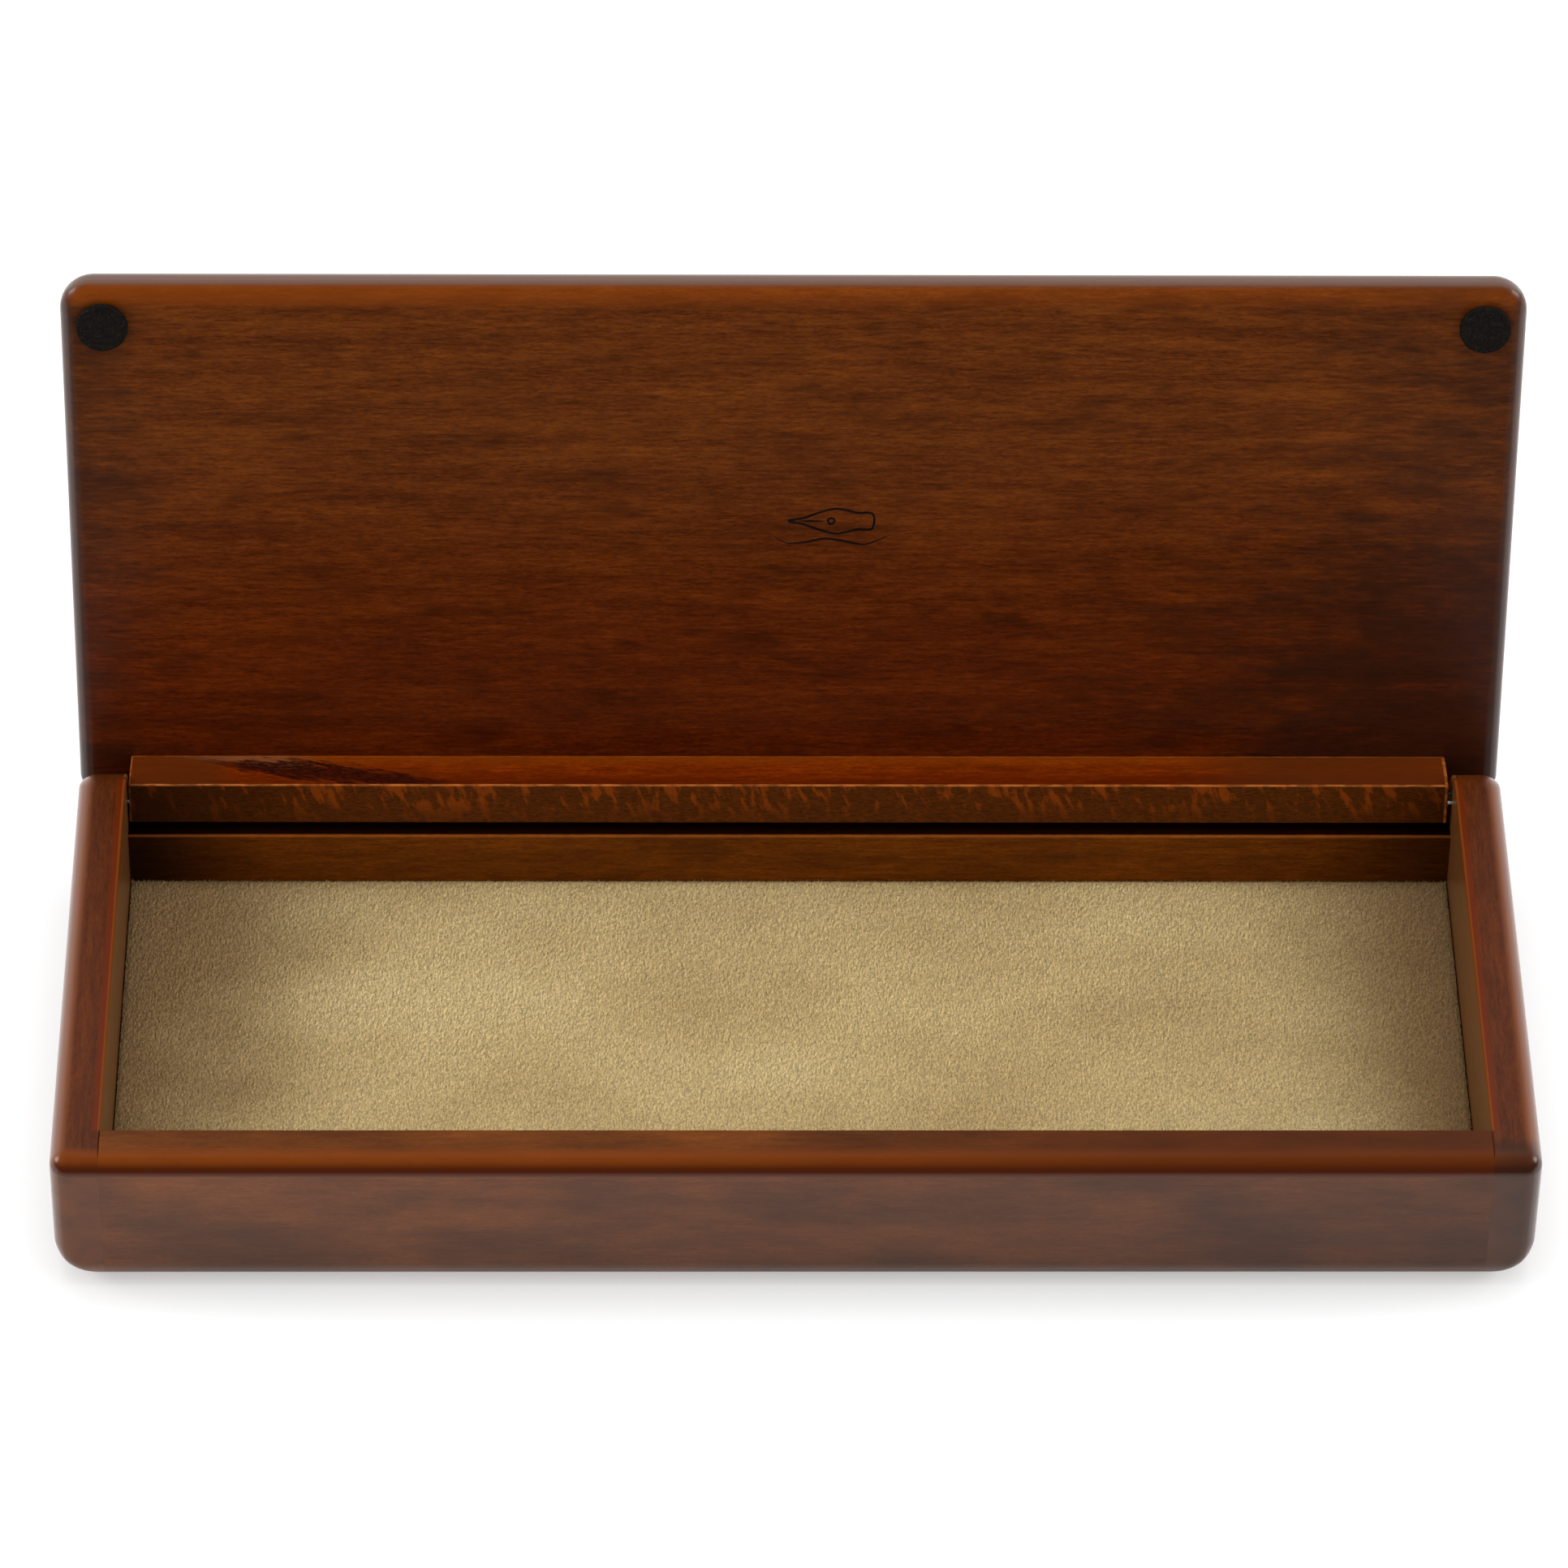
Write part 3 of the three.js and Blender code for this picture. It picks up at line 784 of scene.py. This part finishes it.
def build_side_wall(node, sign, material):
    low, high = box_of(node)
    seat_low, seat_high = box_of("bottom_panel")
    inner = low.x if sign > 0 else high.x
    outer = high.x if sign > 0 else low.x
    seat_x = seat_high.x if sign > 0 else seat_low.x
    seat_top = seat_high.z + SEAT_FIT
    top = high.z
    rim_at = top - RIM_RADIUS
    shoulder_at = top - SHOULDER_RADIUS
    ease_at = top - EASED_EDGE
    heights = set(arc_heights(BASE_RADIUS, BASE_RADIUS, -1, ARC_STEPS))
    heights |= set(arc_heights(rim_at, RIM_RADIUS, 1, ARC_STEPS))
    heights |= set(arc_heights(shoulder_at, SHOULDER_RADIUS, 1, 2 * ARC_STEPS))
    heights |= set(arc_heights(ease_at, EASED_EDGE, 1, EASE_STEPS))
    heights |= set(arc_heights(BASE_SIDE_RADIUS, BASE_SIDE_RADIUS, -1, ARC_STEPS + 4))
    # The side edge of the base is so round that the wall starts where it clears the panel's seat.
    reach = abs(outer - seat_x) - SEAT_FIT - LEAST_FOOT
    foot = BASE_SIDE_RADIUS - math.sqrt(BASE_SIDE_RADIUS ** 2 - (BASE_SIDE_RADIUS - reach) ** 2)
    heights = {z for z in heights if z > foot} | {foot, seat_top}

    def ring(z, seat):
        base = arc_inset(z, BASE_RADIUS, BASE_RADIUS, -1)
        rim = arc_inset(z, RIM_RADIUS, rim_at)
        front = base + rim
        side = arc_inset(z, BASE_SIDE_RADIUS, BASE_SIDE_RADIUS, -1) + rim
        rear = base + arc_inset(z, SHOULDER_RADIUS, shoulder_at)
        ease = arc_inset(z, EASED_EDGE, ease_at)
        wall_x = inner + sign * ease
        groove_x = seat_x + sign * SEAT_FIT if seat else wall_x
        groove_y = min(seat_high.y + SEAT_FIT, high.y - rear - 1)
        room = 0.9 * (abs(outer - sign * side - wall_x) - EASED_EDGE)
        front_corner = min(max(CORNER_RADIUS - rim, LEAST_CORNER), room)
        rear_corner = min(max(REAR_CORNER_RADIUS - 0.3 * rear, LEAST_CORNER), room)
        corners = [
            (outer - sign * side, low.y + front, front_corner),
            (outer - sign * side, high.y - rear, rear_corner),
            (wall_x, high.y - rear, EASED_EDGE),
            (wall_x, groove_y, 0),
            (groove_x, groove_y, 0),
            (groove_x, seat_low.y - SEAT_FIT, 0),
            (wall_x, seat_low.y - SEAT_FIT, 0),
            (wall_x, low.y + front, SEAM_EDGE),
        ]
        if sign < 0:
            corners.reverse()
        return [(x, y, z) for x, y in rounded_outline(corners, steps=WALL_CORNER_STEPS)]

    rings = []
    for z in sorted(heights):
        rings.append(ring(z, z <= seat_top))
        if z == seat_top:
            rings.append(ring(z, False))
    piece = new_piece(node + "_shaped", ring_stack(rings), "tray", [material])
    keep_flats_flat(piece)
    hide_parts(node)


def build_cross_wall(node, front, material):
    """The front or the rear wall: one section along X between the side walls."""
    low, high = box_of(node)
    seat_low, seat_high = box_of("bottom_panel")
    seat_top = seat_high.z + SEAT_FIT
    if front:
        section = [
            (low.y, 0, BASE_RADIUS),
            (seat_low.y - SEAT_FIT, 0, 0),
            (seat_low.y - SEAT_FIT, seat_top, 0),
            (high.y, seat_top, 0),
            (high.y, high.z, EASED_EDGE),
            (low.y, high.z, RIM_RADIUS),
        ]
    else:
        section = [
            (seat_high.y + SEAT_FIT, 0, 0),
            (high.y, 0, BASE_RADIUS),
            (high.y, high.z, EASED_EDGE),
            (low.y, high.z, EASED_EDGE),
            (low.y, seat_top, 0),
            (seat_high.y + SEAT_FIT, seat_top, 0),
        ]
    rings = along_x(rounded_outline(section), [low.x - WALL_OVERLAP, high.x + WALL_OVERLAP])
    piece = new_piece(node + "_shaped", ring_stack(rings), "tray", [material])
    keep_flats_flat(piece)
    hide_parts(node)


build_side_wall("left_side_wall", -1, left_wood)
build_side_wall("right_side_wall", 1, right_wood)
build_cross_wall("front_wall", True, front_wood)
build_cross_wall("rear_wall", False, rear_wood)


# ---------------------------------------------------------------- lid

MARK_PLACE = (6.45, 45.35)  # from the middle of the lid, and back from its front edge
MARK_LINE = 0.46
MARK_DEPTH = 0.2
MARK_CLEARANCE = 0.05  # how far the cutter stands out of the face
# A plain pen nib lying on its side, over a written flourish: right, and up as the open lid is seen.
NIB_OUTLINE = [
    (-7.2, 0.9), (-4.6, 1.5), (-2.0, 2.55), (0.6, 3.3), (2.6, 3.0), (4.4, 2.5), (6.9, 2.3),
    (6.9, -0.5), (4.4, -0.7), (2.6, -1.2), (0.6, -1.5), (-2.0, -0.75), (-4.6, 0.3),
]
NIB_MIDDLE = 0.9
NIB_SLIT = [(-5.6, NIB_MIDDLE), (-3.4, NIB_MIDDLE), (-1.1, NIB_MIDDLE)]
FLOURISH = [
    (-9.6, -1.9), (-7.6, -3.3), (-4.4, -3.2), (-1.2, -2.5),
    (2.0, -2.9), (5.4, -3.6), (8.2, -2.6), (10.2, -1.4),
]
HOLE_RADIUS = 0.55
BREATHER_HOLE = [
    (HOLE_RADIUS * math.cos(math.pi * i / 6), NIB_MIDDLE + HOLE_RADIUS * math.sin(math.pi * i / 6))
    for i in range(12)
]


def smooth_line(points, closed, steps=6):
    """A smooth curve through the points."""
    count = len(points)
    line = []
    for i in range(count if closed else count - 1):
        around = [points[(i + k) % count if closed else min(max(i + k, 0), count - 1)] for k in (-1, 0, 1, 2)]
        a, b, c, d = (Vector(point) for point in around)
        for step in range(steps):
            t = step / steps
            square, cube = 2 * a - 5 * b + 4 * c - d, 3 * b - a - 3 * c + d
            line.append((2 * b + (c - a) * t + square * t * t + cube * t ** 3) / 2)
    if not closed:
        line.append(Vector(points[-1]))
    return line


def add_groove(bm, line, closed, place, surface):
    """A V-shaped sweep along line, open side down, which cuts MARK_DEPTH into a face at surface."""
    count = len(line)
    loops = []
    for i, at in enumerate(line):
        before = line[i - 1] if closed or i else at
        after = line[(i + 1) % count] if closed or i < count - 1 else at
        on = (after - before).normalized()
        side = Vector((-on.y, on.x))
        ends = 1 if closed else min(1, 0.15 + 2.5 * min(i, count - 1 - i) / count)
        half, depth = MARK_LINE / 2 * ends, MARK_DEPTH * ends
        reach = half * (1 + MARK_CLEARANCE / depth)
        mouth = surface - MARK_CLEARANCE
        loops.append([
            bm.verts.new((place.x + p.x, place.y - p.y, z))
            for p, z in ((at + side * reach, mouth), (at, surface + depth), (at - side * reach, mouth))
        ])
    for i in range(count if closed else count - 1):
        low, high = loops[i], loops[(i + 1) % count]
        for j in range(3):
            bm.faces.new((low[j], low[(j + 1) % 3], high[(j + 1) % 3], high[j])).material_index = 1
    if not closed:
        bm.faces.new(loops[0]).material_index = 1
        bm.faces.new(loops[-1]).material_index = 1


def mark_cutter(low):
    """The grooves of a generic mark, to be sunk into the lid's inner face."""
    bm = bmesh.new()
    place = Vector((MARK_PLACE[0], low.y + MARK_PLACE[1]))
    for points, closed in ((NIB_OUTLINE, True), (NIB_SLIT, False), (FLOURISH, False), (BREATHER_HOLE, True)):
        add_groove(bm, smooth_line(points, closed), closed, place, low.z)
    return bm


def build_lid_board():
    low, high = box_of("lid_board", LID_FRAME)
    inner_at = low.z + LID_INNER_RADIUS
    outer_at = high.z - LID_OUTER_RADIUS
    ease_at = low.z + EASED_EDGE
    heights = set(arc_heights(inner_at, LID_INNER_RADIUS, -1, ARC_STEPS))
    heights |= set(arc_heights(outer_at, LID_OUTER_RADIUS, 1, ARC_STEPS + 2))
    heights |= set(arc_heights(ease_at, EASED_EDGE, -1, EASE_STEPS))
    rings = []
    for z in sorted(heights):
        outer = arc_inset(z, LID_OUTER_RADIUS, outer_at)
        side = outer + arc_inset(z, LID_INNER_RADIUS, inner_at, -1)
        rear = outer + arc_inset(z, EASED_EDGE, ease_at, -1)
        corner = max(LID_CORNER_RADIUS - 0.6 * side, LEAST_CORNER)
        rear_corner = max(LID_REAR_CORNER_RADIUS - 0.6 * rear, LEAST_CORNER)
        outline = rounded_outline([
            (low.x + side, low.y + side, corner),
            (high.x - side, low.y + side, corner),
            (high.x - side, high.y - rear, rear_corner),
            (low.x + side, high.y - rear, rear_corner),
        ], steps=LID_CORNER_STEPS)
        rings.append([(x, y, z) for x, y in outline])
    board = carved(ring_stack(rings), mark_cutter(low))
    piece = new_piece("lid_board_shaped", board, "lid", [lid_wood, burnt_wood], LID_FRAME)
    keep_flats_flat(piece)
    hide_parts("lid_board")


def build_rail():
    low, high = box_of("hinge_rail", LID_FRAME)
    rings = []
    rounds = [math.pi / 2 * i / EASE_STEPS for i in range(EASE_STEPS + 1)]
    eased = [(EASED_EDGE * (1 - math.sin(t)), EASED_EDGE * (1 - math.cos(t))) for t in rounds]
    ends = [(low.x + along, inset) for along, inset in reversed(eased)]
    ends += [(high.x - along, inset) for along, inset in eased]
    for x, inset in ends:
        radius = max(EASED_EDGE - inset, SEAM_EDGE)
        outline = rounded_outline([
            (low.y + inset, low.z + inset, radius),
            (high.y - inset, low.z + inset, radius),
            (high.y - inset, high.z, 0),
            (low.y + inset, high.z, 0),
        ], steps=RAIL_CORNER_STEPS)
        rings.append([(x, y, z) for y, z in outline])
    piece = new_piece("hinge_rail_shaped", ring_stack(rings), "lid", [rail_wood], LID_FRAME)
    keep_flats_flat(piece)
    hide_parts("hinge_rail")


build_lid_board()
build_rail()


# ---------------------------------------------------------------- hinge pins and felt pads

PIN_CHAMFER = 0.15
PAD_TRIM = 0.08  # the ragged outline stays inside the CAD's disc
PAD_EDGE = 0.28  # rounding of the pad's edge
PAD_RELIEF = 0.05  # the most that matted felt rises or sinks
PAD_SHARES = (0.86, 0.78, 0.7, 0.62, 0.54, 0.46, 0.38, 0.3, 0.22, 0.14, 0.06)


def circle_turns(count):
    return [2 * math.pi * i / count for i in range(count)]


def build_pin(node):
    low, high = box_of(node, LID_FRAME)
    radius = (high.y - low.y) / 2
    narrow = radius - PIN_CHAMFER
    centre = (low + high) / 2
    profile = [(low.x, narrow), (low.x + PIN_CHAMFER, radius)]
    profile += [(high.x - PIN_CHAMFER, radius), (high.x, narrow)]
    turns = circle_turns(48)
    rings = [[(x, centre.y + r * math.cos(t), centre.z + r * math.sin(t)) for t in turns] for x, r in profile]
    piece = new_piece(node + "_shaped", ring_stack(rings), "lid", [steel], LID_FRAME)
    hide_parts(node)


def build_felt_pad(node, seed):
    """A punched felt disc: soft edge, slightly ragged outline and matted face."""
    low, high = box_of(node, LID_FRAME)
    centre = (low + high) / 2
    radius = (high.x - low.x) / 2 - PAD_TRIM
    thickness = high.z - low.z
    turns = circle_turns(120)
    profile = [(1.0, thickness), (1.0, PAD_EDGE)]
    for a in (0.4, 0.8, 1.2, math.pi / 2):
        profile.append((1 - PAD_EDGE / radius * (1 - math.cos(a)), PAD_EDGE * (1 - math.sin(a))))
    profile += [(share, 0) for share in PAD_SHARES]
    rings = []
    for share, depth in profile:
        ring = []
        for t in turns:
            around = Vector((math.cos(t), math.sin(t), 0))
            ragged = 0.07 * noise.noise(around * 6 + Vector((seed, 0, depth)))
            ragged += 0.04 * noise.noise(around * 30)
            reach = radius * share + ragged * share
            at = Vector((centre.x + reach * around.x, centre.y + reach * around.y, 0))
            matted = 0.035 * noise.noise(at * 2.2) + 0.03 * noise.noise(at * 5.5) if depth < PAD_EDGE else 0
            z = low.z + depth + PAD_RELIEF + min(matted, PAD_RELIEF) if depth < thickness else high.z
            ring.append((at.x, at.y, z))
        rings.append(ring)
    piece = new_piece(node + "_soft", ring_stack(rings), "lid", [felt], LID_FRAME)
    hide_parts(node)


for side, seed in (("left", 3.0), ("right", 8.0)):
    build_pin("hinge_pin_" + side)
    build_felt_pad("felt_pad_" + side, seed)


# ---------------------------------------------------------------- suede lining

SUEDE_PITCH = (0.42, 0.46)
SUEDE_ROUND = 0.9  # width of the border that falls away to the cut edge
SUEDE_FALL = 0.3
SUEDE_DROP = 0.055  # keeps the nap's relief under the CAD's top face


def suede_height(x, y):
    """Relief of the nap in millimetres."""
    soft = noise.noise(Vector((x / 2.6, y / 4.2, 0.3)))
    nap = noise.noise(Vector((x / 0.9, y / 1.7, 4.1)))
    return 0.015 * soft + 0.02 * nap


def build_suede():
    low, high = box_of("suede_lining")
    columns = round((high.x - low.x) / SUEDE_PITCH[0])
    rows = round((high.y - low.y) / SUEDE_PITCH[1])
    bm = bmesh.new()
    grid = []
    for j in range(rows + 1):
        line = []
        for i in range(columns + 1):
            x = low.x + (high.x - low.x) * i / columns
            y = low.y + (high.y - low.y) * j / rows
            rim = min(x - low.x, high.x - x, y - low.y, high.y - y)
            fall = SUEDE_FALL * max(1 - rim / SUEDE_ROUND, 0) ** 2
            drawn_in = 0.3 * max(noise.noise(Vector((x * 2.1, y * 2.1, 9))) + 0.1, 0) if rim < 0.1 else 0
            to_middle = Vector(((i == 0) - (i == columns), (j == 0) - (j == rows)))
            x, y = x + drawn_in * to_middle.x, y + drawn_in * to_middle.y
            line.append(bm.verts.new((x, y, high.z - SUEDE_DROP - fall + suede_height(x, y))))
        grid.append(line)
    for j in range(rows):
        for i in range(columns):
            bm.faces.new((grid[j][i], grid[j][i + 1], grid[j + 1][i + 1], grid[j + 1][i]))
    border = grid[0][:-1] + [line[-1] for line in grid[:-1]]
    border += grid[-1][:0:-1] + [line[0] for line in grid[:0:-1]]
    under = [bm.verts.new((v.co.x, v.co.y, low.z)) for v in border]
    for i in range(len(border)):
        j = (i + 1) % len(border)
        bm.faces.new((border[j], border[i], under[i], under[j]))
    bm.faces.new(under[::-1])
    piece = new_piece("suede_lining_soft", bm, "tray", [suede])
    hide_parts("suede_lining")


def build_suede_fibres():
    """Loose fibres of the cut edge, which stand up along the walls."""
    low, high = box_of("suede_lining")
    draw = random.Random(41)
    bm = bmesh.new()
    edges = [
        (Vector((low.x, high.y)), Vector((high.x, high.y)), Vector((0, -1)), 1500),
        (Vector((low.x, low.y)), Vector((low.x, high.y)), Vector((1, 0)), 420),
        (Vector((high.x, low.y)), Vector((high.x, high.y)), Vector((-1, 0)), 520),
    ]
    for start, end, inward, count in edges:
        for _ in range(count):
            root = start.lerp(end, draw.random()) + inward * draw.uniform(0.12, 0.5)
            length = draw.uniform(0.25, 0.75)
            lean = (end - start).normalized() * draw.uniform(-0.6, 0.6) + inward * draw.uniform(-0.15, 0.5)
            tip = Vector((root.x + lean.x * length, root.y + lean.y * length, high.z - 0.2 + length * 0.9))
            foot = high.z - 0.35
            thick = draw.uniform(0.02, 0.04)
            base = [
                bm.verts.new((root.x + thick * math.cos(a), root.y + thick * math.sin(a), foot))
                for a in (0, 2.1, 4.2)
            ]
            top = bm.verts.new(tip)
            bm.faces.new(base[::-1])
            for i in range(3):
                bm.faces.new((base[i], base[(i + 1) % 3], top))
    new_piece("suede_edge_fibres", bm, "tray", [suede_fibre])


build_suede()
build_suede_fibres()


# ---------------------------------------------------------------- carried-over CAD nodes

def repaint(material, *nodes):
    for node in nodes:
        mesh = frame["nodes"][node].data
        mesh.materials.clear()
        mesh.materials.append(material)


repaint(panel_wood, "bottom_panel")
repaint(greyboard, "liner_board")
repaint(dowel_wood, *[node for node in frame["nodes"] if "dowel" in node])
repaint(glue, "pad_adhesive_left", "pad_adhesive_right")
